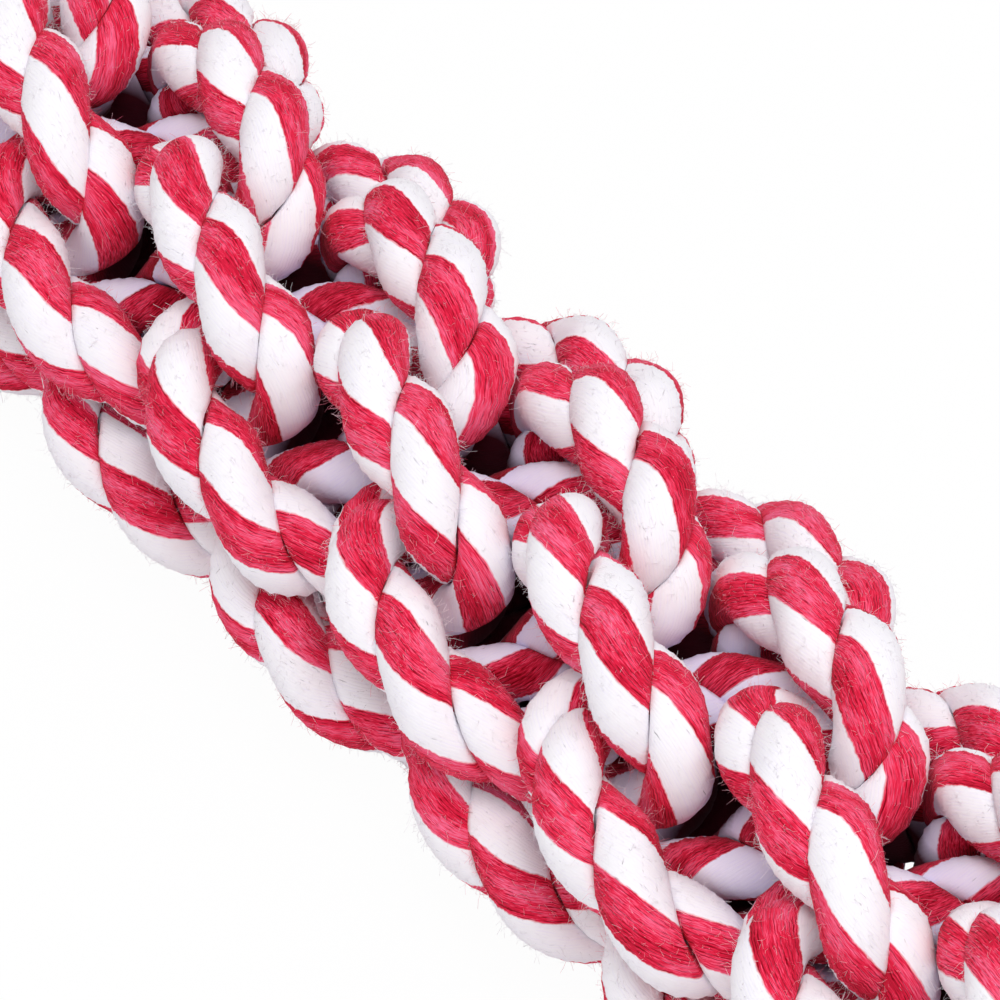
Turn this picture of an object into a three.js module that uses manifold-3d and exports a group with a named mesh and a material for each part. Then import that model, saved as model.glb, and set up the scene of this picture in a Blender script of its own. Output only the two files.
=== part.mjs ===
// A braided rope dog toy: four cotton ropes crowned over each other into a straight bar,
// bound with cord at both ends and frayed into loose tails beyond the bindings.
// Millimetres, +Z up. The bar lies along X, its middle is above the origin and it rests on Z = 0.
import * as THREE from "three";
import { mergeVertices } from "three/addons/utils/BufferGeometryUtils.js";
import Module from "manifold-3d";

const wasm = await Module();
wasm.setup();

// Driving dimensions
const ROPE_DIAMETER = 9.2;
const CROWNS = 15;
const TAPER_LENGTH = 12;
const WHIPPING_CORD = 2.6;
const WHIPPING_TURNS = 5;
const WHIPPING_TURN_GAP = 0.55;
const ROPE_PAST_WHIPPING = 1.5;
const TAIL_LENGTH = 42;
const TAIL_SWELL = 3.4;
const CLEARANCE = 0.3;

// Proportions of the braid, in rope diameters: the rope's middle at a bight on the outside and
// at a run near the axis, the rise from one crown to the next, the swing up and down within a
// crown, the sway that leans the bights, and the ring of ropes inside a binding
const BIGHT_REACH = 1.8;
const RUN_REACH = 0.71;
const CROWN_RISE = 1.36;
const CROWN_SWING = 0.75;
const BIGHT_SWAY = 0.033;
const BUNDLE_REACH = 0.65;
const FLAT_DEPTH_SHARE = 0.1;

// The pattern of a four-rope spiral crown braid
const ROPES = 4;
const ROWS = 8;
const ROWS_PER_CROWN = 3;
const ROW_ANGLE = (2 * Math.PI) / ROWS;
const ROPE_ANGLE = (2 * Math.PI) / ROPES;

// Fineness of the tubes, and the fine steps of a route from one ring of its tube to the next
const ROPE_SIDES = 8;
const STEPS_PER_CROWN = 10;
const TAPER_STEPS = 7;
const BUNDLE_STEPS = 2;
const CORD_SIDES = 6;
const STEPS_PER_TURN = 24;
const TAIL_SIDES = 10;
const TAIL_STEPS = 8;
const FINE = 4;

const RED = 0xcf2440;
const WHITE = 0xf7f3f5;
const MIXED = 0xe59aa6;

// How far off, in rope diameters, a neighbour can press on a rope, and the share of a crown within
// which a rope is still its own continuation
const PRESS_RANGE = 1.75;
const OWN_TURN_SHARE = 0.4;

// Sizes that follow from those above
const crownRise = CROWN_RISE * ROPE_DIAMETER;
const bundleReach = BUNDLE_REACH * ROPE_DIAMETER;
const bundleRopeRadius = bundleReach * Math.sin(ROPE_ANGLE / 2) - CLEARANCE / 2;
const braidHalf = (CROWNS * crownRise) / 2;
const whippingPitch = WHIPPING_CORD + WHIPPING_TURN_GAP;
const whippingLength = WHIPPING_TURNS * whippingPitch + WHIPPING_CORD;
const whippingStart = braidHalf + TAPER_LENGTH;
const whippingRadius = bundleReach + ROPE_DIAMETER / 2 + CLEARANCE + WHIPPING_CORD / 2;
const ropeEnd = whippingStart + whippingLength + ROPE_PAST_WHIPPING;
const tailRoot = ropeEnd + CLEARANCE;

// A point at a distance from the bar's axis, at an angle from +Y towards +Z
function around(x, reach, angle) {
  return new THREE.Vector3(x, reach * Math.cos(angle), reach * Math.sin(angle));
}

// The star that one rope follows through the crowns: out to a bight, in over the neighbour and
// down under the next bight, three rows further round at every crown
class CrownRoute extends THREE.Curve {
  constructor(phase) {
    super();
    this.phase = phase;
    this.sway = BIGHT_SWAY * ROPE_DIAMETER;
    this.mean = ((BIGHT_REACH + RUN_REACH) * ROPE_DIAMETER) / 2 + this.sway;
    this.point = ((BIGHT_REACH - RUN_REACH) * ROPE_DIAMETER) / 2 - this.sway;
  }

  getPoint(t, target = new THREE.Vector3()) {
    const crown = t * CROWNS;
    const turn = crown * ROW_ANGLE;
    const x = crown * crownRise + CROWN_SWING * ROPE_DIAMETER * Math.sin(2 * Math.PI * crown);
    const terms = [
      [this.mean, ROWS_PER_CROWN],
      [this.point, ROWS_PER_CROWN - ROWS],
      [this.sway, ROWS_PER_CROWN + ROWS],
      [-this.sway, ROWS_PER_CROWN - 2 * ROWS],
    ];
    target.set(x - braidHalf, 0, 0);
    for (const [reach, turns] of terms) {
      target.add(around(0, reach, turns * turn + this.phase));
    }
    return target;
  }
}

// The braid is turned so that two neighbouring rows of bights share the weight
const middleAngle = (CROWNS / 2) * ROWS_PER_CROWN * ROW_ANGLE;
const braidPhase = Math.PI / 2 - middleAngle;
const leftAngle = braidPhase - ROW_ANGLE / 2;
const rightAngle = braidPhase + CROWNS * ROWS_PER_CROWN * ROW_ANGLE + ROW_ANGLE / 2;

// From a bight at the end of the braid to its place in the bound bundle
function taper(bight, along, side, bundleAngle) {
  const reach = TAPER_LENGTH / 2;
  const seat = around(side * whippingStart, bundleReach, bundleAngle);
  return new THREE.CubicBezierCurve3(
    bight,
    bight.clone().addScaledVector(along, side * reach),
    seat.clone().setX(side * (whippingStart - reach)),
    seat,
  );
}

// The whole route of the first rope from left to right, in fine steps
function ropeRoute() {
  const crowns = new CrownRoute(braidPhase);
  const leftTaper = taper(crowns.getPoint(0), crowns.getTangent(0), -1, leftAngle);
  const rightTaper = taper(crowns.getPoint(1), crowns.getTangent(1), 1, rightAngle);
  const leftBundle = new THREE.LineCurve3(
    around(-ropeEnd, bundleReach, leftAngle),
    around(-whippingStart, bundleReach, leftAngle),
  );
  const rightBundle = new THREE.LineCurve3(
    around(whippingStart, bundleReach, rightAngle),
    around(ropeEnd, bundleReach, rightAngle),
  );
  const bundleFine = BUNDLE_STEPS * FINE;
  const taperFine = TAPER_STEPS * FINE;
  return [
    ...leftBundle.getPoints(bundleFine),
    ...leftTaper.getPoints(taperFine).reverse().slice(1),
    ...crowns.getPoints(CROWNS * STEPS_PER_CROWN * FINE).slice(1),
    ...rightTaper.getPoints(taperFine).slice(1),
    ...rightBundle.getPoints(bundleFine).slice(1),
  ];
}

function turned(points, angle) {
  const axis = new THREE.Vector3(1, 0, 0);
  return points.map((point) => point.clone().applyAxisAngle(axis, angle));
}

// The rope's own directions at a point: along it, outwards from the bar's axis, and across both
function directions(points, i) {
  const next = points[Math.min(i + 1, points.length - 1)];
  const along = next.clone().sub(points[Math.max(i - 1, 0)]).normalize();
  const out = new THREE.Vector3(0, points[i].y, points[i].z);
  out.addScaledVector(along, -out.dot(along)).normalize();
  return { out, across: along.clone().cross(out) };
}

function spokes(points, i, sides) {
  const { out, across } = directions(points, i);
  return Array.from({ length: sides }, (_, side) => {
    const angle = ((side + 0.5) * 2 * Math.PI) / sides;
    return out.clone().multiplyScalar(Math.cos(angle)).addScaledVector(across, Math.sin(angle));
  });
}

// Points of the other ropes, or of other turns of the same rope, that are near a point of the first rope
function pressing(routes, i) {
  const ownTurn = STEPS_PER_CROWN * FINE * OWN_TURN_SHARE;
  const here = routes[0][i];
  return routes.flatMap((route, rope) =>
    route
      .filter((other, j) => rope > 0 || Math.abs(i - j) > ownTurn)
      .filter((other) => other.distanceTo(here) < PRESS_RANGE * ROPE_DIAMETER)
      .map((other) => other.clone().sub(here)),
  );
}

// A soft rope swells to its full radius where it is free and, where a neighbour presses on it,
// only to the plane halfway between the two, less the clearance
function squeezed(routes, i) {
  const neighbours = pressing(routes, i);
  return spokes(routes[0], i, ROPE_SIDES).map((spoke) => {
    let reach = ROPE_DIAMETER / 2;
    for (const towards of neighbours) {
      const distance = towards.length();
      const facing = spoke.dot(towards) / distance;
      if (facing > 0) {
        reach = Math.min(reach, (distance - CLEARANCE) / 2 / facing);
      }
    }
    return reach;
  });
}

// The radii of each ring of the rope, one for each side, held to the least of the fine rings beside it
function ringRadii(routes) {
  const fineRings = routes[0].map((_, i) => squeezed(routes, i));
  const rings = [];
  for (let i = 0; i < fineRings.length; i += FINE) {
    const beside = fineRings.slice(Math.max(0, i - FINE / 2), i + FINE / 2 + 1);
    rings.push(fineRings[i].map((_, side) => Math.min(...beside.map((ring) => ring[side]))));
  }
  return rings;
}

// A closed tube through the points, with one radius for each side of each ring
function tube(points, rings) {
  const sides = rings[0].length;
  const positions = [];
  const faces = [];
  const last = points.length - 1;
  points.forEach((point, i) => {
    spokes(points, i, sides).forEach((spoke, side) => {
      positions.push(...point.clone().addScaledVector(spoke, rings[i][side]).toArray());
    });
  });
  for (let i = 0; i < last; i += 1) {
    for (let side = 0; side < sides; side += 1) {
      const a = i * sides + side;
      const b = i * sides + ((side + 1) % sides);
      faces.push(a, b, b + sides, a, b + sides, a + sides);
    }
  }
  for (let side = 1; side < sides - 1; side += 1) {
    faces.push(0, side + 1, side);
    faces.push(last * sides, last * sides + side, last * sides + side + 1);
  }
  const geometry = new THREE.BufferGeometry();
  geometry.setAttribute("position", new THREE.Float32BufferAttribute(positions, 3));
  geometry.setIndex(faces);
  return geometry;
}

function roundRing(radius, sides) {
  return Array(sides).fill(radius);
}

function solid(geometry) {
  const bare = geometry.clone();
  bare.deleteAttribute("normal");
  bare.deleteAttribute("uv");
  const merged = mergeVertices(bare);
  const vertProperties = new Float32Array(merged.attributes.position.array);
  const triVerts = new Uint32Array(merged.index.array);
  return new wasm.Manifold(new wasm.Mesh({ numProp: 3, vertProperties, triVerts }));
}

function geometryOf(manifold) {
  const mesh = manifold.getMesh();
  const geometry = new THREE.BufferGeometry();
  geometry.setAttribute("position", new THREE.Float32BufferAttribute(mesh.vertProperties, 3));
  geometry.setIndex(Array.from(mesh.triVerts));
  return geometry;
}

function cotton(color) {
  return new THREE.MeshStandardMaterial({ color, roughness: 0.95, metalness: 0 });
}

function named(name, geometry, color) {
  geometry.computeVertexNormals();
  const mesh = new THREE.Mesh(geometry, cotton(color));
  mesh.name = name;
  return mesh;
}

// The four ropes as they lie round the axis
function ropeTubes(routes) {
  const rings = ringRadii(routes);
  return routes.map((route) => tube(route.filter((_, i) => i % FINE === 0), rings));
}

function lowest(geometries) {
  return Math.min(
    ...geometries.map((geometry) => {
      geometry.computeBoundingBox();
      return geometry.boundingBox.min.z;
    }),
  );
}

// A rope flattened where the bar rests
function rope(name, geometry, axisHeight) {
  const depth = 2 * axisHeight;
  const floor = new THREE.BoxGeometry(4 * ropeEnd, 2 * depth, depth);
  floor.translate(0, 0, -axisHeight - depth / 2);
  return named(name, geometryOf(solid(geometry).subtract(solid(floor))), RED);
}

// The binding at the right end: one cord wound round the four ropes, its two ends run out straight
function whippingRoute() {
  const start = whippingStart + WHIPPING_CORD / 2;
  const steps = WHIPPING_TURNS * STEPS_PER_TURN;
  const points = [];
  for (let i = 0; i <= steps; i += 1) {
    const turn = i / STEPS_PER_TURN;
    points.push(around(start + turn * whippingPitch, whippingRadius, turn * 2 * Math.PI));
  }
  const first = points[0].clone().sub(points[1]).setLength(WHIPPING_CORD).add(points[0]);
  const final = points[steps].clone().sub(points[steps - 1]).setLength(WHIPPING_CORD).add(points[steps]);
  return [first, ...points, final];
}

function whipping(name, route) {
  const rings = route.map(() => roundRing(WHIPPING_CORD / 2, CORD_SIDES));
  return named(name, tube(route, rings), WHITE);
}

function leastTurnGap(route) {
  let least = Infinity;
  route.forEach((point, i) => {
    route.slice(i + STEPS_PER_TURN / 2).forEach((other) => {
      least = Math.min(least, point.distanceTo(other) - WHIPPING_CORD);
    });
  });
  return least;
}

// One frayed rope end at the right: it swells from the bound rope and is pushed out by its neighbours
function tail(name, angle) {
  const points = [];
  const rings = [];
  for (let i = 0; i <= TAIL_STEPS; i += 1) {
    const t = i / TAIL_STEPS;
    const radius = bundleRopeRadius + TAIL_SWELL * t * t * (3 - 2 * t);
    const reach = (radius + CLEARANCE / 2) / Math.sin(ROPE_ANGLE / 2);
    points.push(around(tailRoot + t * TAIL_LENGTH, reach, 0));
    rings.push(roundRing(radius, TAIL_SIDES));
  }
  const mesh = named(name, tube(points, rings), MIXED);
  mesh.rotation.x = angle;
  return mesh;
}

const firstRoute = ropeRoute();
const routes = Array.from({ length: ROPES }, (_, i) => turned(firstRoute, i * ROPE_ANGLE));
const tubes = ropeTubes(routes);
const axisHeight = -lowest(tubes) - FLAT_DEPTH_SHARE * ROPE_DIAMETER;
const winding = whippingRoute();
console.log(`whipping: least gap between turns ${leastTurnGap(winding).toFixed(2)} mm`);

const toy = new THREE.Group();
toy.position.z = axisHeight;
tubes.forEach((geometry, i) => toy.add(rope(`rope_${i + 1}`, geometry, axisHeight)));

const rightEnd = new THREE.Group();
const leftEnd = new THREE.Group();
leftEnd.rotation.z = Math.PI;
rightEnd.add(whipping("right_whipping", winding));
leftEnd.add(whipping("left_whipping", winding));
for (let i = 0; i < ROPES; i += 1) {
  rightEnd.add(tail(`rope_${i + 1}_right_tail`, rightAngle + i * ROPE_ANGLE));
  leftEnd.add(tail(`rope_${i + 1}_left_tail`, Math.PI - leftAngle - i * ROPE_ANGLE));
}
toy.add(leftEnd, rightEnd);

export default toy;
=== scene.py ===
"""Looks of a braided rope dog toy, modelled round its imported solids.

Four cotton ropes, each twisted from two strands of red and white yarn, are crowned over each other into a
straight bar. A cord binds the bar at each end, and the rope ends beyond the bindings are frayed into loose
yarns. Metres, +Z up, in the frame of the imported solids: the bar lies along X and rests on Z = 0.
"""

from __future__ import annotations

import logging
import math
from dataclasses import dataclass
from enum import Enum

import bmesh
import bpy
import numpy as np
from mathutils import Matrix, Vector

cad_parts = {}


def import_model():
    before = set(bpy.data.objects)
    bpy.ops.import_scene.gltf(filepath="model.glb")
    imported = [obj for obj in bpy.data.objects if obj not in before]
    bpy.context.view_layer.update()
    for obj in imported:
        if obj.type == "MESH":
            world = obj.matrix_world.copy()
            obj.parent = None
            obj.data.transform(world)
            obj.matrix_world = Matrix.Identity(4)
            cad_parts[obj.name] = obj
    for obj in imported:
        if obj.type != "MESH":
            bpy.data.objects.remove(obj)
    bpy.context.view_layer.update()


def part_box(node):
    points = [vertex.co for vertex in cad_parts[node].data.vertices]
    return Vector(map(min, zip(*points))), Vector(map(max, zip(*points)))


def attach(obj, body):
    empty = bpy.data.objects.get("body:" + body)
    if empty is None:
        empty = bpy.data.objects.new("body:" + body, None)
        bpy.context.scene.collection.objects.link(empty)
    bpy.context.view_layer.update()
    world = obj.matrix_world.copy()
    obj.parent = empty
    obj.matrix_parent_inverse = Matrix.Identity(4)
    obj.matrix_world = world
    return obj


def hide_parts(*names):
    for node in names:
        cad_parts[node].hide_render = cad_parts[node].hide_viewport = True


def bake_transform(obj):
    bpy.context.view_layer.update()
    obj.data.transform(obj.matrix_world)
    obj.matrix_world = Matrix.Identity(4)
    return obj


MM = 0.001
TAU = 2 * math.pi
YARN_MAP = "yarn_map"
DYE = "dye"
DYE_TURNS = (0.125, 0.375, 0.125, 0.375)
LOBE_PLACES = (3.6 * MM, 4.9 * MM, 2.7 * MM, 5.2 * MM)
ROPE_SEED = 3
TAIL_SEED = 100
SEED_STEP = 10
NOISE_ROUGHNESS = 0.55

log = logging.getLogger("rope_toy")

Colour = tuple[float, float, float, float]
FULL_WHITE: Colour = (1.0, 1.0, 1.0, 1.0)


def srgb(red: int, green: int, blue: int) -> Colour:
    """A colour from its screen values.

    Args:
        red: Red, 0 to 255.
        green: Green, 0 to 255.
        blue: Blue, 0 to 255.

    Returns:
        The linear colour with full alpha.
    """
    shares = [value / 255 for value in (red, green, blue)]
    linear = [s / 12.92 if s <= 0.04045 else ((s + 0.055) / 1.055) ** 2.4 for s in shares]
    return (linear[0], linear[1], linear[2], 1.0)


class End(Enum):
    """The two ends of the bar, by the side of the origin that they lie on."""

    LEFT = -1
    RIGHT = 1


class Signal:
    """A node's output that takes part in arithmetic, where each operation adds a Math node."""

    def __init__(self, book: NodeBook, socket: bpy.types.NodeSocket) -> None:
        """Keeps the socket and the book of nodes that it belongs to."""
        self.book = book
        self.socket = socket

    def __add__(self, other: Signal | float) -> Signal:
        """The sum of two values."""
        return self.book.maths("ADD", self, other)

    def __sub__(self, other: Signal | float) -> Signal:
        """The difference of two values."""
        return self.book.maths("SUBTRACT", self, other)

    def __rsub__(self, other: float) -> Signal:
        """A number less this value."""
        return self.book.maths("SUBTRACT", other, self)

    def __mul__(self, other: Signal | float) -> Signal:
        """The product of two values."""
        return self.book.maths("MULTIPLY", self, other)

    def __truediv__(self, other: Signal | float) -> Signal:
        """The quotient of two values."""
        return self.book.maths("DIVIDE", self, other)

    def __abs__(self) -> Signal:
        """The value without its sign."""
        return self.book.maths("ABSOLUTE", self)

    def sin(self) -> Signal:
        """The sine of the value, in radians."""
        return self.book.maths("SINE", self)

    def cos(self) -> Signal:
        """The cosine of the value, in radians."""
        return self.book.maths("COSINE", self)

    def power(self, exponent: float) -> Signal:
        """The value raised to a power."""
        return self.book.maths("POWER", self, exponent)

    def floor(self) -> Signal:
        """The whole number at or below the value."""
        return self.book.maths("FLOOR", self)

    def clamped(self) -> Signal:
        """The value held between nought and one."""
        return self.book.maths("ADD", self, 0.0, clamp=True)


class NodeBook:
    """The nodes of one material or world, added one by one."""

    def __init__(self, tree: bpy.types.NodeTree) -> None:
        """Empties the tree and keeps it."""
        self.tree = tree
        tree.nodes.clear()

    def add(
        self,
        kind: str,
        settings: dict[str, object] | None = None,
        inputs: dict[str | int, object] | None = None,
    ) -> bpy.types.Node:
        """Adds one node.

        Args:
            kind: The node's type.
            settings: The node's own settings, which are set first.
            inputs: A value or a Signal for each named or numbered socket.

        Returns:
            The new node.
        """
        node = self.tree.nodes.new(kind)
        for name, value in (settings or {}).items():
            setattr(node, name, value)
        for key, value in (inputs or {}).items():
            if isinstance(value, Signal):
                self.tree.links.new(value.socket, node.inputs[key])
            else:
                node.inputs[key].default_value = value
        return node

    def signal(self, node: bpy.types.Node, output: str | int = 0) -> Signal:
        """One output of a node as a Signal."""
        return Signal(self, node.outputs[output])

    def maths(self, operation: str, *values: Signal | float, clamp: bool = False) -> Signal:
        """A Math node on values or numbers.

        Args:
            operation: The Math node's operation.
            values: Its inputs in order.
            clamp: Whether the result is held between nought and one.

        Returns:
            The result.
        """
        settings = {"operation": operation, "use_clamp": clamp}
        return self.signal(self.add("ShaderNodeMath", settings, dict(enumerate(values))))

    def mixed(self, share: Signal | float, first: Signal | Colour, second: Signal | Colour) -> Signal:
        """Two colours mixed, with the share of the second."""
        node = self.add("ShaderNodeMix", {"data_type": "RGBA"}, {0: share, 6: first, 7: second})
        return self.signal(node, 2)

    def seen_directly(self) -> Signal:
        """Tells the rays that see the background from those that it lights.

        Returns:
            One for rays that see it straight, in gloss or through glass, and nought for the others.
        """
        rays = self.add("ShaderNodeLightPath")
        seen = [self.signal(rays, f"Is {kind} Ray") for kind in ("Camera", "Glossy", "Transmission")]
        return (seen[0] + seen[1] + seen[2]).clamped()

    def noise(self, place: tuple[Signal, Signal, Signal], detail: float = 2.0) -> Signal:
        """Smooth noise about one half.

        Args:
            place: Where it is read, with about one lump to a unit.
            detail: Finer layers.

        Returns:
            The noise, from nought to one.
        """
        joined = self.signal(self.add("ShaderNodeCombineXYZ", None, dict(enumerate(place))))
        inputs = {"Vector": joined, "Scale": 1.0, "Detail": detail, "Roughness": NOISE_ROUGHNESS}
        return self.signal(self.add("ShaderNodeTexNoise", {"noise_dimensions": "3D"}, inputs), "Fac")

    def yarn_map(self) -> tuple[Signal, Signal]:
        """Reads a piece's yarn map.

        Returns:
            The turn round the yarns and the place along them.
        """
        both = self.signal(self.add("ShaderNodeUVMap", {"uv_map": YARN_MAP}))
        split = self.add("ShaderNodeSeparateXYZ", None, {0: both})
        return self.signal(split, 0), self.signal(split, 1)

    def dye(self) -> Signal:
        """The dye of each yarn or fibre of a piece, from white to red."""
        return self.signal(self.add("ShaderNodeAttribute", {"attribute_name": DYE}), "Fac")


def new_material(name: str) -> tuple[bpy.types.Material, NodeBook]:
    """Starts a material.

    Args:
        name: The material's name.

    Returns:
        The empty material and the book of its nodes.
    """
    made = bpy.data.materials.new(name)
    made.use_nodes = True
    return made, NodeBook(made.node_tree)


@dataclass(frozen=True)
class Grain:
    """Noise on a yarn map: its lumps round the yarns and along a metre of them, and its finer layers."""

    crosswise: float
    lengthwise: float
    detail: float = 2.0

    def over(self, book: NodeBook, angle: Signal, along: Signal) -> Signal:
        """The noise at each place of the map."""
        circle = (angle.cos() * self.crosswise, angle.sin() * self.crosswise)
        return book.noise((*circle, along * self.lengthwise), self.detail)


@dataclass(frozen=True)
class Tone:
    """How strongly a second colour shows: a start, and a weight for each thing that brings it out."""

    start: float = 0.0
    line: float = 0.0
    fibres: float = 0.0
    blotch: float = 0.0
    # Weight of the painted shade towards the bar's axis, where a material passes it in.
    inside: float = 0.0

    def share(self, line: Signal, fibres: Signal, blotch: Signal, inside: Signal | float = 0.0) -> Signal:
        """The share of the second colour, from nought to one."""
        depth = line * self.line + (fibres - 0.5) * self.fibres + (blotch - 0.5) * self.blotch
        return (depth + inside * self.inside + self.start).clamped()


@dataclass(frozen=True)
class Cotton:
    """What all the cotton shares: soft, matt, with a low sheen of short fibres."""

    roughness: float = 0.92
    sheen: float = 0.05
    sheen_roughness: float = 0.45
    sheen_tint: Colour = (1.0, 0.85, 0.92, 1.0)
    specular: float = 0.1
    bump_depth: float = 0.12 * MM
    bump_strength: float = 0.85

    def shaded(self, book: NodeBook, colour: Signal, height: Signal) -> None:
        """Ends a material with the cotton's shader.

        Args:
            book: The material's nodes.
            colour: The base colour over the surface.
            height: The relief of the yarns, from nought to one.
        """
        bump_inputs = {"Strength": self.bump_strength, "Distance": self.bump_depth, "Height": height}
        bump = book.signal(book.add("ShaderNodeBump", None, bump_inputs))
        shader = book.add(
            "ShaderNodeBsdfPrincipled",
            None,
            {
                "Base Color": colour,
                "Roughness": self.roughness,
                "Specular IOR Level": self.specular,
                "Sheen Weight": self.sheen,
                "Sheen Roughness": self.sheen_roughness,
                "Sheen Tint": self.sheen_tint,
                "Normal": bump,
            },
        )
        book.add("ShaderNodeOutputMaterial", None, {"Surface": book.signal(shader)})


@dataclass(frozen=True)
class TwoColourStrand:
    """A strand with two red and two white sectors, in yarns that run along the rope on its outside.

    Shade is painted into the colours towards the bar's axis, where the ropes hide each other: the red
    deepens, the white turns lavender, the pale pink painted sheen fades and the deepest gaps go near-black.
    """

    axis_height: float
    cotton: Cotton = Cotton()
    red: Colour = srgb(243, 37, 75)
    # Deep red of the yarn lines, fibres and blotches, and of the painted shade towards the bar's axis.
    deep_red: Colour = srgb(124, 0, 16)
    # Pale pink of the fuzz over the red, partly a painted sheen that stands in for the lit fuzz.
    pink_fuzz_and_painted_sheen_colour: Colour = srgb(254, 128, 168)
    white: Colour = srgb(248, 245, 250)
    # Lavender of faint yarn lines and blotches in the white, and mostly of the painted shade towards the
    # bar's axis.
    lavender_tone_and_painted_shade: Colour = srgb(224, 214, 255)
    fleck: Colour = srgb(150, 146, 150)
    # Painted shade: the near-black red of the deep gaps between the ropes.
    painted_gap_shade: Colour = srgb(80, 18, 34)
    pairs: int = 2
    yarns: int = 56
    edge_sharpness: float = 8.0
    edge_raggedness: float = 0.35
    red_bias: float = -0.08
    yarn_drift: float = 1.6
    white_relief: float = 0.45
    # Painted shade begins inside open_reach of the bar's axis and is full shade_range further in.
    open_reach: float = 14 * MM
    shade_range: float = 7 * MM
    painted_gap_shade_start: float = 0.74
    ragged: Grain = Grain(5.0, 900.0, 4.0)
    drift: Grain = Grain(3.0, 250.0)
    fibres: Grain = Grain(45.0, 1500.0, 4.0)
    blotch: Grain = Grain(1.6, 200.0)
    dash_grain: tuple[float, float, float] = (3.7, 1100.0, 1.3)
    dash_start: float = 0.4
    dash_onset: float = 6.0
    fleck_start: float = 0.7
    fleck_onset: float = 8.0
    line_narrowness: float = 1.5
    # The red deepens along broken yarn lines, fibres and blotches, and as painted shade towards the bar's
    # axis.
    red_depth_and_painted_shade: Tone = Tone(start=0.08, line=0.9, fibres=1.8, blotch=1.4, inside=0.6)
    # Pale pink fuzz patches set by noise, partly painted sheen.
    pink_fuzz_and_painted_sheen: Tone = Tone(start=0.06, fibres=-3.2, blotch=-2.2)
    # The white turns lavender a little along yarn lines and blotches, and mostly as painted shade towards the
    # bar's axis.
    white_depth: Tone = Tone(line=0.2, blotch=0.2, inside=0.8)
    ridge_height: float = 0.25
    fibre_height: float = 0.65
    blotch_height: float = 0.1

    def painted_shade_inwardness(self, book: NodeBook) -> Signal:
        """How far a point lies towards the bar's axis, which sets how much shade is painted there.

        Args:
            book: The material's nodes.

        Returns:
            Nought on the outside of the bar, rising to one inside.
        """
        place = book.signal(book.add("ShaderNodeTexCoord"), "Object")
        split = book.add("ShaderNodeSeparateXYZ", None, {0: place})
        sideways = book.signal(split, 1)
        upward = book.signal(split, 2) - self.axis_height
        reach = (sideways * sideways + upward * upward).power(0.5)
        return ((self.open_reach - reach) / self.shade_range).clamped()

    def material(self) -> bpy.types.Material:
        """Draws the sectors, the yarns and their flecks on the strand's yarn map, with painted shade towards
        the bar's axis and painted sheen in pale pink patches.

        Returns:
            The strand's material.
        """
        made, book = new_material("two_colour_strand")
        turn, along = book.yarn_map()
        angle = turn * TAU
        # Painted shade: inside rises towards the bar's axis, where the ropes shade each other.
        inside = self.painted_shade_inwardness(book)
        ragged = self.ragged.over(book, angle, along)
        wave = (angle * float(self.pairs)).sin() + (ragged - 0.5) * self.edge_raggedness + self.red_bias
        red_share = (wave * self.edge_sharpness + 0.5).clamped()

        drift = self.drift.over(book, angle, along)
        yarn = turn * float(self.yarns) + (drift - 0.5) * self.yarn_drift
        ridge = abs((yarn * math.pi).sin())
        number = (yarn + 0.5).floor()
        first, lengthwise, second = self.dash_grain
        dash = book.noise((number * first, along * lengthwise, number * second), 1.0)
        broken = ((dash - self.dash_start) * self.dash_onset).clamped()
        line = (1.0 - ridge * self.line_narrowness).clamped() * broken
        fibres = self.fibres.over(book, angle, along)
        blotch = self.blotch.over(book, angle, along)

        # Red deepens by its yarn lines, fibres and blotches, and by painted shade towards the bar's axis.
        red = book.mixed(self.red_depth_and_painted_shade.share(line, fibres, blotch, inside), self.red, self.deep_red)
        # Pale pink fuzz patches, partly painted sheen, which fade towards the bar's axis as painted shade.
        pink_fuzz_and_painted_sheen_share = self.pink_fuzz_and_painted_sheen.share(line, fibres, blotch) * (1.0 - inside)
        red = book.mixed(pink_fuzz_and_painted_sheen_share, red, self.pink_fuzz_and_painted_sheen_colour)
        # White turns lavender by its yarn lines and blotches, and by painted shade towards the bar's axis.
        white = book.mixed(self.white_depth.share(line, fibres, blotch, inside), self.white, self.lavender_tone_and_painted_shade)
        flecked = line * ((dash - self.fleck_start) * self.fleck_onset).clamped()
        white = book.mixed(flecked, white, self.fleck)
        dyed = book.mixed(red_share, white, red)
        # Painted shade: the deepest places towards the bar's axis turn near-black, where the gaps between the
        # ropes are in shade.
        painted_gap_shade_share = (inside - self.painted_gap_shade_start) / (1.0 - self.painted_gap_shade_start)
        colour = book.mixed(painted_gap_shade_share.clamped(), dyed, self.painted_gap_shade)
        relief = ridge * self.ridge_height + fibres * self.fibre_height + blotch * self.blotch_height - 0.5
        height = relief * (red_share * (1.0 - self.white_relief) + self.white_relief) + 0.5
        self.cotton.shaded(book, colour, height)
        return made


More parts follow.
